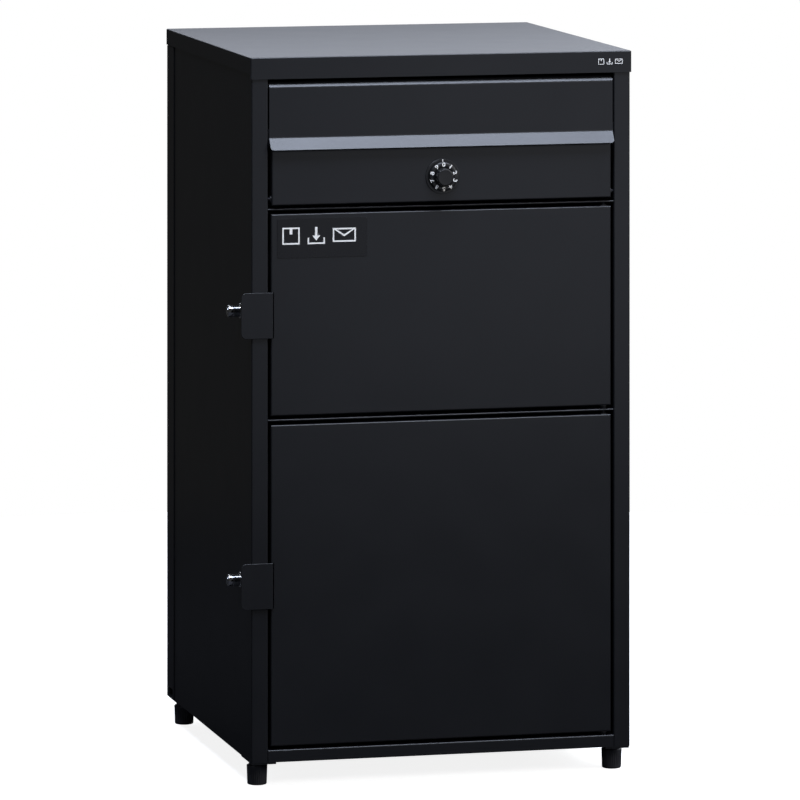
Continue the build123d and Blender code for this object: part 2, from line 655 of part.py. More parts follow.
for door_name, door in {"lower": LOWER_DOOR, "upper": UPPER_DOOR}.items():
    save(parcel_door(door), f"{door_name}_door")
    save(door_stiffener(door), f"{door_name}_door_stiffener")
    save(door_tab(door), f"{door_name}_door_tab")
    save(door_strike(door), f"{door_name}_door_strike")
    save(door_bushes(door), f"{door_name}_door_bushes")

with BuildPart() as notice_plate:
    left = -DOOR_X + NOTICE_INSET[0]
    top = UPPER_DOOR[1] - NOTICE_INSET[1]
    block((left, left + NOTICE[0]), (FRONT - NOTICE[2], FRONT), (top - NOTICE[1], top))
    fillet(notice_plate.edges().filter_by(Axis.Y), NOTICE_ROUND)
save(notice_plate, "notice_plate")

# ---------------------------------------------------------------- mail flap
with BuildPart() as mail_flap:
    half = STILE_X - FLAP_GAP
    lip_z = FLAP_TOP - FLAP_H
    slope_z = ROD_Z + CURL_R * sin(SLOPE_ANGLE)
    with BuildSketch(facing_side(-half)) as section:
        with BuildLine() as line:
            FilletPolyline(
                (FRONT + FLAP_SLOPE[0], slope_z),
                (FRONT, slope_z - FLAP_SLOPE[1]),
                (FRONT, lip_z),
                (FRONT - LIP_OUT, lip_z - LIP_DROP),
                radius=LIP_BEND,
            )
            offset(amount=FLAP_T, side=Side.LEFT)
        make_face(line.edges())
        with Locations((ROD_Y, ROD_Z)):
            Circle(CURL_R)
            Circle(PIN_R + RUNNING, mode=Mode.SUBTRACT)
    extrude(amount=2 * half)
    ends = [mail_flap.faces().sort_by(Axis.X)[i] for i in (0, -1)]
    fillet([end.edges().sort_by(Axis.Z)[0] for end in ends], LIP_ROUND)
save(mail_flap, "mail_flap")

# ---------------------------------------------------------------- mail door
mail_skin = folded_pan(MAIL_DOOR_X, MAIL_FRONT, MAIL_DOOR_DEPTH, (MAIL_DOOR_Z, MAIL_DOOR_Z + MAIL_DOOR_H))

with BuildPart() as mail_door:
    add(mail_skin)
    bushes = (-MAIL_DOOR_X - THROUGH, PIVOT_Y, MAIL_PIVOT_Z)
    bar(bushes, (1, 0, 0), 2 * (MAIL_DOOR_X + THROUGH), BUSH_R + PRESS_HOLE, Mode.SUBTRACT)
    spindle = (0, MAIL_FRONT - THROUGH, DIAL_Z)
    bar(spindle, (0, 1, 0), SHEET + 2 * THROUGH, SPINDLE_R + SPINDLE_HOLE_GAP, Mode.SUBTRACT)
save(mail_door, "mail_door")

with BuildPart() as mail_door_bushes:
    for side in SIDES.values():
        flanged_bush((side * MAIL_DOOR_X, PIVOT_Y, MAIL_PIVOT_Z), (-side, 0, 0))
save(mail_door_bushes, "mail_door_bushes")

# ---------------------------------------------------------------- dial lock
DIAL_BACK = MAIL_FRONT - BASE_T - DIAL_GAP
CASE_FRONT = MAIL_FRONT + SHEET
CASE_BACK = CASE_FRONT + CASE_T
CAM_Y = FRONT + SILL_BACK + SHEET + CAM_GAP


def dial_bar(y, length, radius, mode=Mode.ADD, x=0):
    """A round bar beside or on the dial's axis, from this depth backwards, or forwards if it is negative."""
    bar((x, y, DIAL_Z), (0, 1 if length > 0 else -1, 0), abs(length), radius, mode)


with BuildPart() as dial_base:
    dial_bar(MAIL_FRONT, -BASE_T, BASE_R)
    chamfer(dial_base.faces().sort_by(Axis.Y)[0].edges(), BASE_EDGE)
    dial_bar(MAIL_FRONT, -BASE_T, SPINDLE_R + RUNNING, Mode.SUBTRACT)
save(dial_base, "dial_base")

with BuildPart() as dial_knob:
    dial_bar(DIAL_BACK, -DIAL_T, DIAL_R)
    chamfer(dial_knob.faces().sort_by(Axis.Y)[0].edges(), DIAL_EDGE)
    dial_bar(DIAL_BACK - DIAL_T, -KNOB_T, KNOB_R)
    fillet(dial_knob.faces().sort_by(Axis.Y)[0].edges(), KNOB_EDGE)
    dial_bar(DIAL_BACK, -SPINDLE_IN_KNOB - SPINDLE_END_GAP, SPINDLE_R, Mode.SUBTRACT)
save(dial_knob, "dial_knob")

with BuildPart() as dial_spindle:
    tip = DIAL_BACK - SPINDLE_IN_KNOB
    dial_bar(tip, CASE_FRONT + SPINDLE_IN_CASE - tip, SPINDLE_R)
save(dial_spindle, "dial_spindle")

with BuildPart() as dial_case:
    block(centred(0, CASE_W), (CASE_FRONT, CASE_BACK), centred(DIAL_Z, CASE_W))
    fillet(dial_case.edges().filter_by(Axis.Y), CASE_ROUND)
    dial_bar(CASE_FRONT, SPINDLE_IN_CASE + SPINDLE_END_GAP, SPINDLE_R + RUNNING, Mode.SUBTRACT)
    dial_bar(CASE_BACK, -CAM_HUB_IN - SPINDLE_END_GAP, CAM_HUB_R + RUNNING, Mode.SUBTRACT)
save(dial_case, "dial_case")

with BuildPart() as dial_case_screws:
    head_r, head_t = CASE_SCREW_HEAD
    for x in CASE_SCREWS_X:
        dial_bar(CASE_BACK, head_t, head_r, x=x)
save(dial_case_screws, "dial_case_screws")

with BuildPart() as latch_cam:
    dial_bar(CAM_Y, CASE_BACK - CAM_HUB_IN - CAM_Y, CAM_HUB_R)
    with BuildSketch(facing_front(CAM_Y)) as arm:
        with Locations((CAM_L / 2, DIAL_Z)):
            SlotCenterToCenter(CAM_L, CAM_W)
    extrude(amount=-CAM_T)
    dial_bar(CAM_Y + CAM_T, -CAM_SCREW_L, CAM_SCREW_R, Mode.SUBTRACT)
save(latch_cam, "latch_cam")

with BuildPart() as latch_screw:
    head_r, head_t = CAM_SCREW_HEAD
    dial_bar(CAM_Y + CAM_T, head_t, head_r)
    dial_bar(CAM_Y + CAM_T, -CAM_SCREW_L, CAM_SCREW_R)
save(latch_screw, "latch_screw")

# ---------------------------------------------------------------- feet
FOOT_PLACES = {
    f"{end}_{name}": (side * FOOT_X, sign * FOOT_Y)
    for end, sign in {"front": -1, "rear": 1}.items()
    for name, side in SIDES.items()
}

with BuildPart() as foot_brackets:
    for x, y in FOOT_PLACES.values():
        side, end = (1 if x > 0 else -1), (1 if y > 0 else -1)
        outer_x, outer_y = SHELF_X, BACK - 2 * FIT
        block(
            sorted((side * (outer_x - BRACKET[0]), side * outer_x)),
            sorted((end * (outer_y - BRACKET[1]), end * outer_y)),
            (FOOT_H - BRACKET_T, FOOT_H),
        )
        bar((x, y, 0), (0, 0, 1), FOOT_H + THROUGH, STUD_R + BRACKET_HOLE_GAP, Mode.SUBTRACT)
save(foot_brackets, "foot_brackets")

with BuildPart() as foot_nuts:
    across, thickness = FOOT_NUT
    for x, y in FOOT_PLACES.values():
        hexagon((x, y, FOOT_H), (0, 0, 1), thickness, across)
        bar((x, y, FOOT_H), (0, 0, 1), thickness, STUD_R + RUNNING, Mode.SUBTRACT)
save(foot_nuts, "foot_nuts")

for place, (x, y) in FOOT_PLACES.items():
    with BuildPart() as pad:
        with BuildSketch(Plane(origin=(x, y, 0), x_dir=(1, 0, 0), z_dir=(0, -1, 0))) as section:
            with BuildLine():
                Polyline(
                    (0, 0),
                    (FOOT_R - FOOT_EDGE, 0),
                    (FOOT_R, FOOT_EDGE),
                    (FOOT_TOP_R, PAD_H - FOOT_EDGE),
                    (FOOT_TOP_R - FOOT_EDGE, PAD_H),
                    (COLLAR_R, PAD_H),
                    (COLLAR_R, PAD_H + COLLAR_H),
                    (0, PAD_H + COLLAR_H),
                    close=True,
                )
            make_face()
        revolve(axis=Axis((x, y, 0), (0, 0, 1)))
        bar((x, y, STUD_Z[0]), (0, 0, 1), PAD_H + COLLAR_H, STUD_R, Mode.SUBTRACT)
    save(pad, f"{place}_foot_pad")
    with BuildPart() as stud:
        bar((x, y, STUD_Z[0]), (0, 0, 1), STUD_Z[1] - STUD_Z[0], STUD_R)
        chamfer(stud.faces().sort_by(Axis.Z)[-1].edges(), STUD_EDGE)
    save(stud, f"{place}_foot_stud")
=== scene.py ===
import json
import math

import bmesh
import bpy
from mathutils import Matrix, Vector


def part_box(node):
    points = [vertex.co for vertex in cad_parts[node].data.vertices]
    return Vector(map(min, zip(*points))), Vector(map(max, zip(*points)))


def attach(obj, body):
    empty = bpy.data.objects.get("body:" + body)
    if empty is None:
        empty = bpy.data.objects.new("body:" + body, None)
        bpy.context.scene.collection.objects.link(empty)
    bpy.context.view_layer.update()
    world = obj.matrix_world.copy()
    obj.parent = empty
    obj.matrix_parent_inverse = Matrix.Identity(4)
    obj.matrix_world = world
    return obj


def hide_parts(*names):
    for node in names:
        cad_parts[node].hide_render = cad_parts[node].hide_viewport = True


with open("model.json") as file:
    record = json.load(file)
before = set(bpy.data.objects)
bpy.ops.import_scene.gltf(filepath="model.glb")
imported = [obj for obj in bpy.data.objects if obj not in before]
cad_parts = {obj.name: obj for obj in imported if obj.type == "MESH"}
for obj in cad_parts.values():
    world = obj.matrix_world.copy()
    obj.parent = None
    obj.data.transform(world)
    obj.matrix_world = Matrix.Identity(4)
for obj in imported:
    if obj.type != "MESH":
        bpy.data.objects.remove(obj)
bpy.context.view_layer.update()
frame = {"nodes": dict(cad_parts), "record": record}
mm = 0.001


def linear(hexColour):
    # sRGB hex to the linear values that a shader takes
    values = [int(hexColour[i:i + 2], 16) / 255 for i in (1, 3, 5)]
    return [v / 12.92 if v <= 0.04045 else ((v + 0.055) / 1.055) ** 2.4 for v in values] + [1]


def newPiece(name, mesh, body, material, replaces=()):
    # a finished bmesh becomes an object that rides on its body
    data = bpy.data.meshes.new(name)
    mesh.to_mesh(data)
    mesh.free()
    piece = bpy.data.objects.new(name, data)
    bpy.context.scene.collection.objects.link(piece)
    data.materials.append(material)
    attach(piece, body)
    if replaces:
        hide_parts(*replaces)
    return piece


def recalculate(mesh):
    bmesh.ops.remove_doubles(mesh, verts=mesh.verts, dist=1e-6)
    bmesh.ops.recalc_face_normals(mesh, faces=mesh.faces)


def smoothFlat(mesh, angle=35):
    # smooth shading, with edges sharper than this kept crisp
    for face in mesh.faces:
        face.smooth = True
    for edge in mesh.edges:
        edge.smooth = len(edge.link_faces) == 2 and edge.calc_face_angle(0) < math.radians(angle)


def lathe(profile, steps):
    # the (radius, height) points of a profile, spun a full turn about Z
    mesh = bmesh.new()
    points = [mesh.verts.new((radius, 0, height)) for radius, height in profile]
    edges = [mesh.edges.new(pair) for pair in zip(points, points[1:])]
    bmesh.ops.spin(mesh, geom=points + edges, cent=(0, 0, 0), axis=(0, 0, 1), dvec=(0, 0, 0),
                   angle=2 * math.pi, steps=steps, use_merge=True)
    recalculate(mesh)
    return mesh


def place(mesh, at, facing=(0, 0, 1)):
    # turns +Z to the way the piece faces, then moves it into place
    turn = Vector((0, 0, 1)).rotation_difference(Vector(facing)).to_matrix()
    bmesh.ops.rotate(mesh, cent=(0, 0, 0), matrix=turn, verts=mesh.verts)
    bmesh.ops.translate(mesh, vec=at, verts=mesh.verts)


def middle(node):
    low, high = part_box(node)
    return (low + high) / 2


def newMaterial(name):
    material = bpy.data.materials.new(name)
    material.use_nodes = True
    tree = material.node_tree
    return material, tree, tree.nodes["Principled BSDF"]


def addNode(tree, kind, settings=None, inputs=None, outputs=None):
    # one node with its settings: an input is a value or another node's socket,
    # and an output is paired with the socket that it feeds
    node = tree.nodes.new(kind)
    for key, value in (settings or {}).items():
        setattr(node, key, value)
    for key, value in (inputs or {}).items():
        if isinstance(value, bpy.types.NodeSocket):
            tree.links.new(value, node.inputs[key])
        else:
            node.inputs[key].default_value = value
    for key, socket in (outputs or {}).items():
        tree.links.new(node.outputs[key], socket)
    return node


def finish(name, look):
    # every finish drifts a little in colour and gloss over its cloud size, and has a fine grain in relief
    material, tree, shader = newMaterial(name)
    if look.get("metal"):
        shader.inputs["Metallic"].default_value = 1
    else:
        shader.inputs["IOR"].default_value = look["ior"]
    where = addNode(tree, "ShaderNodeTexCoord").outputs["Object"]
    cloud = addNode(tree, "ShaderNodeTexNoise", inputs={
        "Vector": where, "Scale": 1 / look["cloud"], "Detail": 3, "Roughness": 0.5}).outputs["Fac"]
    fine = addNode(tree, "ShaderNodeTexNoise", inputs={
        "Vector": where, "Scale": 1 / look["grain"], "Detail": 2, "Roughness": 0.5}).outputs["Fac"]
    fade = addNode(tree, "ShaderNodeMapRange", inputs={
        "Value": cloud, "From Min": 0.3, "From Max": 0.7}).outputs["Result"]
    addNode(tree, "ShaderNodeMix", {"data_type": "RGBA"}, {
        "Factor": fade, "A": linear(look["darker"]), "B": linear(look["lighter"])},
        {"Result": shader.inputs["Base Color"]})
    low, high = look["rough"]
    addNode(tree, "ShaderNodeMapRange", inputs={
        "Value": cloud, "From Min": 0.3, "From Max": 0.7, "To Min": low, "To Max": high},
        outputs={"Result": shader.inputs["Roughness"]})
    height = fine
    if "speck" in look:
        speck = addNode(tree, "ShaderNodeTexNoise", inputs={
            "Vector": where, "Scale": 1 / look["speck"], "Detail": 1}).outputs["Fac"]
        height = addNode(tree, "ShaderNodeMath", {"operation": "MULTIPLY_ADD"}, {
            0: speck, 1: 0.4, 2: fine}).outputs["Value"]
    addNode(tree, "ShaderNodeBump", inputs={"Height": height, "Distance": look["relief"], "Strength": 0.5},
            outputs={"Normal": shader.inputs["Normal"]})
    return material


# polyester powder coat baked on steel: a satin skin with fine orange peel and a very faint bloom
# real peel is about 0.3 mm across, drawn coarser so that it shows
blackPowderCoat = finish("blackPowderCoat", {
    "darker": "#121316", "lighter": "#141518", "ior": 1.5, "rough": (0.332, 0.352),
    "cloud": 60 * mm, "grain": 0.9 * mm, "speck": 0.35 * mm, "relief": 0.012 * mm})
# bright zinc plate with a bluish passivate: pale, cloudy, half dull
zincPlate = finish("zincPlate", {
    "darker": "#a9adb2", "lighter": "#c6c9cb", "metal": True, "rough": (0.26, 0.38),
    "cloud": 12 * mm, "grain": 0.4 * mm, "relief": 0.01 * mm})
# polished chrome plate: nearly a mirror, with hairlines that only soften it
polishedChrome = finish("polishedChrome", {
    "darker": "#d6d8da", "lighter": "#e6e7e8", "metal": True, "rough": (0.07, 0.11),
    "cloud": 12 * mm, "grain": 0.8 * mm, "relief": 0.002 * mm})
# black oxide on turned steel pins: dark, a little oily
blackOxide = finish("blackOxide", {
    "darker": "#232325", "lighter": "#2b2b2d", "metal": True, "rough": (0.34, 0.44),
    "cloud": 8 * mm, "grain": 0.3 * mm, "relief": 0.006 * mm})
# drawn spring wire: darker and duller than plate
springSteel = finish("springSteel", {
    "darker": "#7d7f82", "lighter": "#97999c", "metal": True, "rough": (0.24, 0.36),
    "cloud": 12 * mm, "grain": 0.2 * mm, "relief": 0.006 * mm})
# black machined nylon: slightly waxy, a little lighter than the coat
blackNylon = finish("blackNylon", {
    "darker": "#202022", "lighter": "#262628", "ior": 1.53, "rough": (0.38, 0.47),
    "cloud": 20 * mm, "grain": 0.3 * mm, "relief": 0.01 * mm})
# textured ABS housing: dull black with a moulded grain
texturedAbs = finish("texturedAbs", {
    "darker": "#17181a", "lighter": "#1c1d1f", "ior": 1.54, "rough": (0.38, 0.47),
    "cloud": 20 * mm, "grain": 0.35 * mm, "relief": 0.012 * mm})
# smoother ABS for the dial: deep black, semi-gloss
dialAbs = finish("dialAbs", {
    "darker": "#0b0b0c", "lighter": "#101011", "ior": 1.54, "rough": (0.34, 0.42),
    "cloud": 20 * mm, "grain": 0.35 * mm, "relief": 0.006 * mm})
# moulded polypropylene feet: charcoal, a shade lighter than the coat, with a faint tool texture
polypropylene = finish("polypropylene", {
    "darker": "#303136", "lighter": "#36373c", "ior": 1.49, "rough": (0.38, 0.46),
    "cloud": 20 * mm, "grain": 0.5 * mm, "relief": 0.02 * mm})
# moulded nitrile rubber: matt and grainy
nitrileRubber = finish("nitrileRubber", {
    "darker": "#0d0d0e", "lighter": "#131314", "ior": 1.52, "rough": (0.68, 0.77),
    "cloud": 20 * mm, "grain": 0.5 * mm, "relief": 0.02 * mm})
# sintered ferrite: dark grey, dry, with a ground face
sinteredFerrite = finish("sinteredFerrite", {
    "darker": "#26262a", "lighter": "#323236", "ior": 2.0, "rough": (0.58, 0.67),
    "cloud": 8 * mm, "grain": 0.2 * mm, "relief": 0.02 * mm})
# calendered vinyl film: smooth, glossier and darker than the coat behind it
vinylFilm = finish("vinylFilm", {
    "darker": "#0c0c0e", "lighter": "#0f0f12", "ior": 1.46, "rough": (0.23, 0.31),
    "cloud": 20 * mm, "grain": 0.6 * mm, "relief": 0.002 * mm})
# screen-printed white ink: opaque, slightly satin
whiteInk = finish("whiteInk", {
    "darker": "#f6f4ef", "lighter": "#fdfbf6", "ior": 1.5, "rough": (0.41, 0.5),
    "cloud": 20 * mm, "grain": 0.2 * mm, "relief": 0.003 * mm})
print("materials made")

finishes = {
    "black_powder_coat": blackPowderCoat, "zinc_plated_steel": zincPlate, "chrome": polishedChrome,
    "black_oxide_steel": blackOxide, "spring_steel": springSteel, "nylon": blackNylon,
    "rubber": nitrileRubber, "black_plastic": texturedAbs, "foot_plastic": polypropylene,
    "dial_plastic": dialAbs, "ferrite": sinteredFerrite, "notice_film": vinylFilm,
}
for entry in frame["record"]["subparts"]:
    node = frame["nodes"][entry["node"]]
    node.data.materials.clear()
    node.data.materials.append(finishes[entry["material_slot"]])
print("CAD nodes finished")


cameraSettings = {
    "place": (-1.881, -7.574, 1.4285),
    "turn": math.radians(-14.0),   # it looks level, along the box's front left diagonal
    "sensor": 36,
    "lens": 296.2,
    "shift": -1.075,               # down to the box, so that the uprights stay parallel
}


def makeCamera():
    data = bpy.data.cameras.new("camera")
    camera = bpy.data.objects.new("camera", data)
    bpy.context.scene.collection.objects.link(camera)
    data.sensor_width = cameraSettings["sensor"]
    data.lens = cameraSettings["lens"]
    data.shift_y = cameraSettings["shift"]
    data.clip_end = 100
    camera.location = cameraSettings["place"]
    camera.rotation_euler = (math.radians(90), 0, cameraSettings["turn"])
    bpy.context.scene.camera = camera


makeCamera()
print("camera placed")


dial = {
    "steps": 120,
    "ringThick": 4.5 * mm,
    "knobRadius": 10.2 * mm,
    "flutes": 20,
    "fluteDepth": 0.55 * mm,
    "digitSize": 6.4 * mm,
    "digitBold": 0.14 * mm,
    "digitWide": 1.22,
    "digitRing": 13.9 * mm,
    "inkLift": 0.06 * mm,
    "inkThick": 0.12 * mm,
    "indexSize": (1.1 * mm, 0.2 * mm, 2.8 * mm),
    "indexEdge": 0.06 * mm,
    "indexDown": 1.85 * mm,   # below the base plate's top edge
}


def dialKnob():
    low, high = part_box("dial_knob")
    centre = middle("dial_knob")
    radius = (high.x - low.x) / 2
    knob = dial["knobRadius"]
    back, face = -high.y, -low.y     # heights towards the front
    ring = back + dial["ringThick"]
    profile = [
        (0.0, back), (radius - 0.5 * mm, back), (radius, back + 0.5 * mm), (radius, ring - 1.5 * mm),
        (radius - 0.5 * mm, ring - 0.5 * mm), (radius - 1.5 * mm, ring), (knob + 1.2 * mm, ring),
        (knob + 0.7 * mm, ring - 0.4 * mm), (knob + 0.1 * mm, ring - 0.4 * mm), (knob, ring),
        (knob - 0.15 * mm, ring + 0.6 * mm), (knob - 0.4 * mm, face - 1.1 * mm),
        (knob - 0.6 * mm, face - 0.4 * mm), (knob - 1.1 * mm, face),
        (knob - 2.0 * mm, face - 0.02 * mm), (knob - 3.0 * mm, face - 0.1 * mm),
        (knob - 4.2 * mm, face - 0.12 * mm), (0.0, face - 0.12 * mm),
    ]
    mesh = lathe(profile, dial["steps"])
    # finger flutes round the knob's side
    for vert in mesh.verts:
        out = Vector((vert.co.x, vert.co.y))
        if ring + 0.3 * mm < vert.co.z < face - 0.4 * mm and out.length > knob - 1.2 * mm:
            angle = math.atan2(out.y, out.x)
            cut = dial["fluteDepth"] * (0.5 + 0.5 * math.cos(dial["flutes"] * angle)) ** 2
            scale = 1 - cut / out.length
            vert.co.x *= scale
            vert.co.y *= scale
    smoothFlat(mesh, 40)
    place(mesh, (centre.x, 0, centre.z), (0, -1, 0))
    return newPiece("dialKnob", mesh, "dial", dialAbs, ["dial_knob"])


def inkText(name, text, size, centre, facingTurn, body, thick):
    # a generic numeral as a thin raised mesh on an upright face
    curve = bpy.data.curves.new(name, "FONT")
    curve.body = text
    curve.size = size
    curve.align_x = "CENTER"
    curve.align_y = "CENTER"
    curve.extrude = thick / 2
    curve.offset = dial["digitBold"]
    curve.resolution_u = 4
    source = bpy.data.objects.new(name, curve)
    mesh = bmesh.new()
    mesh.from_mesh(bpy.data.meshes.new_from_object(source))
    bpy.data.objects.remove(source)
    bmesh.ops.remove_doubles(mesh, verts=mesh.verts, dist=1e-7)
    bmesh.ops.scale(mesh, vec=(dial["digitWide"], 1, 1), verts=mesh.verts)
    bmesh.ops.rotate(mesh, cent=(0, 0, 0), matrix=Matrix.Rotation(facingTurn, 3, "Z"), verts=mesh.verts)
    bmesh.ops.rotate(mesh, cent=(0, 0, 0), matrix=Matrix.Rotation(math.radians(90), 3, "X"), verts=mesh.verts)
    bmesh.ops.translate(mesh, vec=centre, verts=mesh.verts)
    return newPiece(name, mesh, body, whiteInk)


def dialFigures():
    low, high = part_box("dial_knob")
    centre = middle("dial_knob")
    face = high.y - dial["ringThick"] - dial["inkLift"]
    for digit in range(10):
        turn = -digit * 2 * math.pi / 10
        x = centre.x - dial["digitRing"] * math.sin(turn)
        z = centre.z + dial["digitRing"] * math.cos(turn)
        inkText(f"dialFigure{digit}", str(digit), dial["digitSize"], (x, face, z), turn,
                "dial", dial["inkThick"])


def dialIndex():
    # the fixed white mark above the dial, on its base plate
    low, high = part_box("dial_base")
    mesh = bmesh.new()
    bmesh.ops.create_cube(mesh, size=1)
    bmesh.ops.scale(mesh, vec=dial["indexSize"], verts=mesh.verts)
    bmesh.ops.bevel(mesh, geom=mesh.edges, offset=dial["indexEdge"], affect="EDGES",
                    segments=2, profile=0.5, material=-1)
    bmesh.ops.translate(mesh, vec=(0, low.y, high.z - dial["indexDown"]), verts=mesh.verts)
    return newPiece("dialIndex", mesh, "mail_door", whiteInk)


dialKnob()
dialFigures()
dialIndex()
print("dial made")


lock = {
    "steps": 64,
    "flangeRadius": 9.0 * mm,
    "bodyRadius": 8.0 * mm,
    "bore": 7.06 * mm,
    "boltBore": 4.06 * mm,
    "noseThick": 2.5 * mm,
    "plungerRadius": 7.0 * mm,
    "coreBore": 4.56 * mm,
    "coreDeep": 13.4 * mm,
}


def lockPieces(door):
    centre = middle(f"{door}_lock_plunger")
    low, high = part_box(f"{door}_lock_barrel")
    # collar and barrel: a rounded flange outside, a body inside, bored for the plunger
    flange, bodyRadius = lock["flangeRadius"], lock["bodyRadius"]
    bore, boltBore = lock["bore"], lock["boltBore"]
    tip, root, wall = -low.x, -high.x, -cadWall
    nose = root + lock["noseThick"]
    profile = [
        (bore, tip - 0.3 * mm), (bore + 0.35 * mm, tip), (flange - 0.8 * mm, tip),
        (flange - 0.25 * mm, tip - 0.25 * mm),
        (flange, tip - 0.8 * mm), (flange, wall), (bodyRadius, wall), (bodyRadius, root), (boltBore, root),
        (boltBore, nose), (bore, nose), (bore, tip - 0.3 * mm),
    ]
    mesh = lathe(profile, lock["steps"])
    smoothFlat(mesh)
    place(mesh, (0, centre.y, centre.z), (-1, 0, 0))
    newPiece(f"{door}LockBarrel", mesh, "cabinet", polishedChrome, [f"{door}_lock_barrel"])
    # plunger: rounded rim, a shallow dish and the bore for the core
    low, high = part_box(f"{door}_lock_plunger")
    radius, core, back, front = lock["plungerRadius"], lock["coreBore"], -high.x, -low.x
    profile = [
        (0.0, back), (radius - 0.3 * mm, back), (radius, back + 0.3 * mm), (radius, front - 6.2 * mm),
        (radius - 0.3 * mm, front - 5.9 * mm), (radius - 0.3 * mm, front - 5.3 * mm),
        (radius, front - 5.0 * mm),
        (radius, front - 0.9 * mm), (radius - 0.25 * mm, front - 0.3 * mm), (radius - 0.9 * mm, front),
        (core + 0.7 * mm, front), (core + 0.2 * mm, front - 0.35 * mm), (core, front - 0.5 * mm),
        (core, front - lock["coreDeep"]), (0.0, front - lock["coreDeep"]),
    ]
    mesh = lathe(profile, lock["steps"])
    smoothFlat(mesh)
    place(mesh, (0, centre.y, centre.z), (-1, 0, 0))
    newPiece(f"{door}LockPlunger", mesh, f"{door}_lock", polishedChrome, [f"{door}_lock_plunger"])


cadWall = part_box("left_side_panel")[0].x
for door in ("upper", "lower"):
    lockPieces(door)
print("locks made")


foot = {
    "steps": 256,
    "flutes": 32,
    "fluteDepth": 0.6 * mm,
    "footRadius": 11.2 * mm,
    "topRadius": 12.0 * mm,
    "skirt": 22.5 * mm,
    "collarRadius": 9.5 * mm,
}


def footPad(corner):
    node = f"{corner}_foot_pad"
    low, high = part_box(node)
    centre = middle(node)
    wide, narrow, skirt, collar = foot["topRadius"], foot["footRadius"], foot["skirt"], high.z
    profile = [
        (0.0, 0.0), (narrow - 1.6 * mm, 0.0), (narrow - 0.6 * mm, 0.3 * mm),
        (narrow, 1.3 * mm), (narrow + 0.05 * mm, 2.2 * mm),
        (wide - 0.1 * mm, skirt - 1.8 * mm), (wide, skirt - 0.9 * mm), (wide - 0.4 * mm, skirt - 0.2 * mm),
        (wide - 1.2 * mm, skirt), (foot["collarRadius"], skirt), (foot["collarRadius"], collar - 0.4 * mm),
        (foot["collarRadius"] - 0.4 * mm, collar), (0.0, collar),
    ]
    mesh = lathe(profile, foot["steps"])
    tall = [e for e in mesh.edges if abs(e.verts[0].co.z - e.verts[1].co.z) > 10 * mm]
    bmesh.ops.subdivide_edges(mesh, edges=tall, cuts=4, use_grid_fill=False)
    # finger flutes that run down the skirt and fade out at its two ends
    for vert in mesh.verts:
        out = Vector((vert.co.x, vert.co.y))
        if 2.4 * mm < vert.co.z < skirt - 1.9 * mm and out.length > narrow - 0.3 * mm:
            wave = 0.5 + 0.5 * math.cos(foot["flutes"] * math.atan2(out.y, out.x))
            scale = 1 - foot["fluteDepth"] * wave ** 1.5 / out.length
            vert.co.x *= scale
            vert.co.y *= scale
    smoothFlat(mesh, 50)
    place(mesh, (centre.x, centre.y, 0))
    newPiece(f"{corner}FootPad", mesh, f"{corner}_foot", polypropylene, [node])


for end in ("front", "rear"):
    for side in ("left", "right"):
        footPad(f"{end}_{side}")
print("feet made")


notice = {
    "cornerRadius": 1.5 * mm,
    "edge": 0.12 * mm,
    "ink": 0.1 * mm,
    "signHeight": 19.5 * mm,
    "signsIn": 6 * mm,        # from the plate's left edge
    "signsDown": 29.5 * mm,   # their foot below the plate's top
    "coverSignHeight": 6.6 * mm,
    "coverSignsIn": 40 * mm,  # from the cover's right edge
    "coverSignsDown": 15.5 * mm,
}


def noticePlate():
    low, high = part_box("notice_plate")
    mesh = bmesh.new()
    bmesh.ops.create_cube(mesh, size=1)
    bmesh.ops.scale(mesh, vec=high - low, verts=mesh.verts)
    corners = [e for e in mesh.edges if abs(e.verts[0].co.y - e.verts[1].co.y) > 0.1 * mm]
    bmesh.ops.bevel(mesh, geom=corners, offset=notice["cornerRadius"], affect="EDGES",
                    segments=6, profile=0.5, material=-1)
    front = [e for e in mesh.edges if all(v.co.y < 0 for v in e.verts) and len(e.link_faces) == 2
             and e.calc_face_angle(0) > 1]
    bmesh.ops.bevel(mesh, geom=front, offset=notice["edge"], affect="EDGES",
                    segments=2, profile=0.5, material=-1)
    bmesh.ops.translate(mesh, vec=(low + high) / 2, verts=mesh.verts)
    newPiece("noticePlate", mesh, "upper_door", vinylFilm, ["notice_plate"])


def inkShape(mesh, points, face, thick):
    # a flat outline on an upright face, extruded towards the front
    verts = [mesh.verts.new((x, face, z)) for x, z in points]
    sheet = mesh.faces.new(verts)
    raised = bmesh.ops.extrude_face_region(mesh, geom=[sheet])
    moved = [g for g in raised["geom"] if isinstance(g, bmesh.types.BMVert)]
    bmesh.ops.translate(mesh, vec=(0, -thick, 0), verts=moved)


def bar(x0, z0, x1, z1):
    return [(x0, z0), (x1, z0), (x1, z1), (x0, z1)]


def frameBars(x, z, w, h, t):
    # the four bars of a rectangle's outline
    return [bar(x, z, x + w, z + t), bar(x, z + h - t, x + w, z + h),
            bar(x, z + t, x + t, z + h - t), bar(x + w - t, z + t, x + w, z + h - t)]


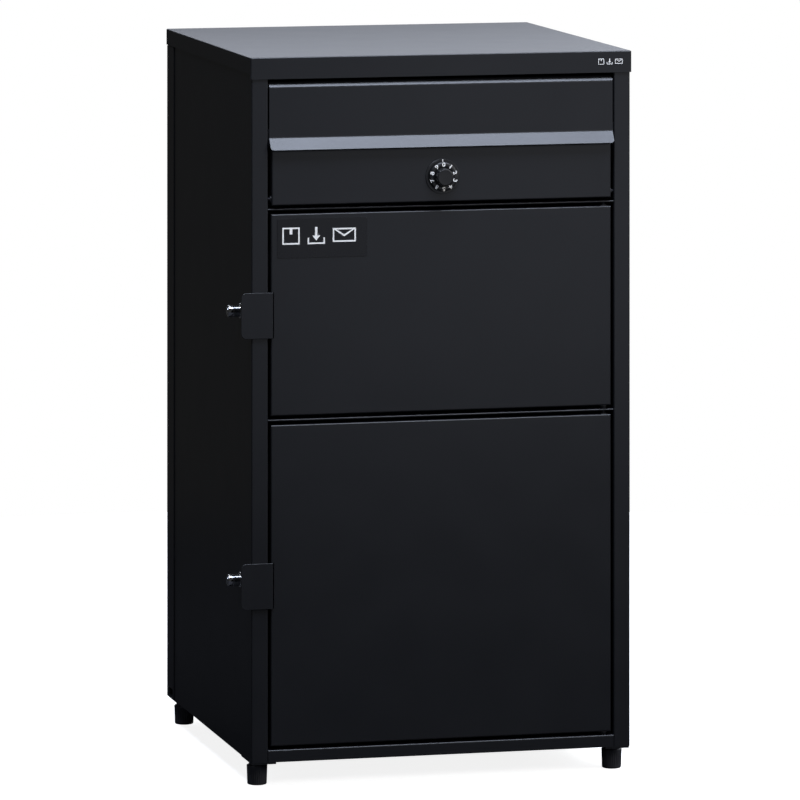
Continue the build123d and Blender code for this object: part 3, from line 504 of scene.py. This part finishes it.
def pictogramRow(name, body, face, left, low, height, thick):
    # three signs with no words: a parcel, an arrow into a box and an envelope
    mesh = bmesh.new()
    t = height * 0.09
    shapes = []
    w = height * 1.05
    x = left
    # parcel: outline and a tape strip down from the top in the middle
    shapes += frameBars(x, low, w, height, t)
    shapes += [bar(x + w * 0.42, low + height * 0.6, x + w * 0.58, low + height - t)]
    x += w * 1.45
    # arrow pointing down into a tray
    shapes += [bar(x, low, x + w, low + t), bar(x, low + t, x + t, low + height * 0.38),
               bar(x + w - t, low + t, x + w, low + height * 0.38)]
    middleX = x + w / 2
    shapes += [bar(middleX - t * 0.8, low + height * 0.5, middleX + t * 0.8, low + height),
               [(middleX - height * 0.24, low + height * 0.5), (middleX, low + height * 0.2),
                (middleX + height * 0.24, low + height * 0.5)]]
    x += w * 1.45
    # envelope: outline with two flap lines
    w = height * 1.4
    tall = height * 0.82
    base = low + (height - tall) / 2
    shapes += frameBars(x, base, w, tall, t)
    top = base + tall - t
    fold = (x + w / 2, base + tall * 0.38)
    foldTop = (x + w / 2, base + tall * 0.38 + t * 1.4)
    shapes += [[(x + t, top), fold, foldTop, (x + 2.6 * t, top)],
               [(x + w - 2.6 * t, top), foldTop, fold, (x + w - t, top)]]
    for shape in shapes:
        inkShape(mesh, shape, face, thick)
    bmesh.ops.recalc_face_normals(mesh, faces=mesh.faces)
    return newPiece(name, mesh, body, whiteInk)


noticePlate()
plateLow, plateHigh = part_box("notice_plate")
pictogramRow("noticeSigns", "upper_door", plateLow.y, plateLow.x + notice["signsIn"],
             plateHigh.z - notice["signsDown"], notice["signHeight"], notice["ink"])
coverLow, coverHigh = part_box("top_cover")
pictogramRow("coverSigns", "cabinet", coverLow.y, coverHigh.x - notice["coverSignsIn"],
             coverHigh.z - notice["coverSignsDown"], notice["coverSignHeight"], notice["ink"])
print("notice made")


screw = {
    "steps": 32,
    "places": (-0.15, 0.0, 0.15),
    "headHeight": 1.6 * mm,
    "shank": 2.0 * mm,
    "crossLong": 4.0 * mm,
    "crossWide": 1.0 * mm,
    "crossDeep": 1.0 * mm,
    "crossTaper": 0.55,       # the recess's end against its mouth
}


def crossPrism():
    # the recess: a plus-shaped prism that tapers inwards and starts a little above the head
    mesh = bmesh.new()
    reach, half = screw["crossLong"] / 2, screw["crossWide"] / 2
    outline = [(reach, -half), (reach, half), (half, half), (half, reach), (-half, reach),
               (-half, half), (-reach, half), (-reach, -half), (-half, -half), (-half, -reach),
               (half, -reach), (half, -half)]
    sheet = mesh.faces.new([mesh.verts.new((x, y, 0.3 * mm)) for x, y in outline])
    deep = bmesh.ops.extrude_face_region(mesh, geom=[sheet])
    moved = [g for g in deep["geom"] if isinstance(g, bmesh.types.BMVert)]
    bmesh.ops.translate(mesh, vec=(0, 0, -screw["crossDeep"] - 0.3 * mm), verts=moved)
    bmesh.ops.scale(mesh, vec=(screw["crossTaper"], screw["crossTaper"], 1), verts=moved)
    recalculate(mesh)
    return mesh


def coverScrews():
    # pan heads with a cross recess, and the shanks behind them
    low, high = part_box("cover_screws")
    radius = (high.z - low.z) / 2
    head, shank, inside = screw["headHeight"], screw["shank"], low.y - high.y
    profile = [
        (0.0, inside + head), (shank - 0.3 * mm, inside + head), (shank, inside + head + 0.3 * mm),
        (shank, 0.0), (radius, 0.0), (radius, 0.35 * mm), (radius * 0.93, 0.8 * mm), (radius * 0.78, 1.2 * mm),
        (radius * 0.55, 1.48 * mm), (radius * 0.3, head), (0.0, head),
    ]
    whole = bmesh.new()
    for x in screw["places"]:
        mesh = lathe(profile, screw["steps"])
        headData = bpy.data.meshes.new("screwHead")
        mesh.to_mesh(headData)
        mesh.free()
        recess = crossPrism()
        bmesh.ops.translate(recess, vec=(0, 0, head), verts=recess.verts)
        recessData = bpy.data.meshes.new("screwRecess")
        recess.to_mesh(recessData)
        recess.free()
        body = bpy.data.objects.new("screwHead", headData)
        tool = bpy.data.objects.new("screwRecess", recessData)
        bpy.context.scene.collection.objects.link(body)
        bpy.context.scene.collection.objects.link(tool)
        cut = body.modifiers.new("recess", "BOOLEAN")
        cut.operation, cut.object, cut.solver = "DIFFERENCE", tool, "EXACT"
        bpy.context.view_layer.update()
        result = bpy.data.meshes.new_from_object(body.evaluated_get(bpy.context.evaluated_depsgraph_get()))
        piece = bmesh.new()
        piece.from_mesh(result)
        for made in (body, tool):
            bpy.data.objects.remove(made)
        smoothFlat(piece)
        place(piece, (x, high.y - head, (low.z + high.z) / 2), (0, 1, 0))
        piece.to_mesh(result)
        piece.free()
        whole.from_mesh(result)
        bpy.data.meshes.remove(result)
    newPiece("coverScrews", whole, "cabinet", zincPlate, ["cover_screws"])


coverScrews()
print("cover screws made")


studio = {
    "floorRadius": 1.9,
    "floorGlow": 0.86,
    "floorSegments": 128,
    "floorDark": "#303032",   # what the box sees of the floor
    "seen": 1.0,          # the white surround behind the box
    "ambient": 0.033,     # the dim room that the box reflects
    # name: place, aim, size, watts, colour
    "lights": {
        "overheadBox": ((0.1, -1.15, 3.0), (0, -0.2, 0), (2.6, 0.9), 122, (0.74, 0.82, 1.0)),
        "rearCard": ((0.35, 1.5, 1.74), (0.35, 0, 1.74), (1.5, 1.2), 10.5, (0.82, 0.87, 1.0)),
        "frontFill": ((0.8, -4.0, 1.9), (0, 0, 0.5), (2.0, 2.0), 3, (0.82, 0.86, 1.0)),
        "frontCard": ((0.55, -1.5, 0.52), (0.45, 0, 0.52), (1.1, 0.6), 1.05, (0.82, 0.87, 1.0)),
        "rightKey": ((2.6, -3.2, 2.2), (0, 0, 0.6), (1.2, 1.2), 54, (1.0, 0.98, 0.95)),
        "ceilingBox": ((0.5, 0.45, 3.0), (0.5, 0.451, 0), (1.8, 2.2), 18, (0.9, 0.94, 1.0)),
        "leftCard": ((-3.2, -1.8, 1.2), (0, 0, 0.4), (1.2, 1.6), 6, (0.8, 0.87, 1.0)),
        "rightFill": ((3.4, -0.4, 1.7), (0, 0, 0.4), (1.4, 1.6), 30, (0.9, 0.94, 1.0)),
        "rearFill": ((2.4, 3.6, 2.3), (0, 0, 0.4), (1.4, 1.4), 40, (0.9, 0.94, 1.0)),
    },
}


def areaLight(name, at, aim, size, power, colour):
    data = bpy.data.lights.new(name, "AREA")
    data.shape = "RECTANGLE"
    data.size, data.size_y = size
    data.energy = power
    data.color = colour
    light = bpy.data.objects.new(name, data)
    bpy.context.scene.collection.objects.link(light)
    light.visible_camera = False
    light.location = at
    light.rotation_euler = (Vector(aim) - Vector(at)).to_track_quat("-Z", "Y").to_euler()


def makeStage():
    mesh = bmesh.new()
    bmesh.ops.create_circle(mesh, cap_ends=True, segments=studio["floorSegments"],
                            radius=studio["floorRadius"])
    data = bpy.data.meshes.new("floor")
    mesh.to_mesh(data)
    mesh.free()
    floor = bpy.data.objects.new("floor", data)
    bpy.context.scene.collection.objects.link(floor)
    # a pale board that glows a little from below, as on a light table, so that shadows on it stay light;
    # the box is shielded from its glare, as flags would do in a studio
    material, tree, shader = newMaterial("paleFloor")
    shader.inputs["Roughness"].default_value = 0.8
    shader.inputs["Emission Color"].default_value = (1, 1, 1, 1)
    shader.inputs["Emission Strength"].default_value = studio["floorGlow"]
    seen = addNode(tree, "ShaderNodeLightPath").outputs["Is Camera Ray"]
    flagged = addNode(tree, "ShaderNodeBsdfDiffuse", inputs={
        "Color": linear(studio["floorDark"])}).outputs["BSDF"]
    where = addNode(tree, "ShaderNodeTexCoord").outputs["Object"]
    cloud = addNode(tree, "ShaderNodeTexNoise", inputs={
        "Vector": where, "Scale": 2.5, "Detail": 3}).outputs["Fac"]
    addNode(tree, "ShaderNodeMix", {"data_type": "RGBA"}, {
        "Factor": cloud, "A": linear("#f2f2f3"), "B": linear("#f8f8f9")},
        {"Result": shader.inputs["Base Color"]})
    addNode(tree, "ShaderNodeMixShader", inputs={0: seen, 1: flagged, 2: shader.outputs["BSDF"]},
            outputs={"Shader": tree.nodes["Material Output"].inputs["Surface"]})
    data.materials.append(material)
    # a white surround for the eye, with a dim room for reflections
    world = bpy.data.worlds.new("studio")
    bpy.context.scene.world = world
    world.use_nodes = True
    tree = world.node_tree
    background = tree.nodes["Background"]
    background.inputs["Color"].default_value = (1, 1, 1, 1)
    seen = addNode(tree, "ShaderNodeLightPath").outputs["Is Camera Ray"]
    addNode(tree, "ShaderNodeMapRange", inputs={
        "Value": seen, "To Min": studio["ambient"], "To Max": studio["seen"]},
        outputs={"Result": background.inputs["Strength"]})
    bpy.context.scene.view_settings.view_transform = "Standard"
    for name, values in studio["lights"].items():
        areaLight(name, *values)


makeStage()
print("stage lit")
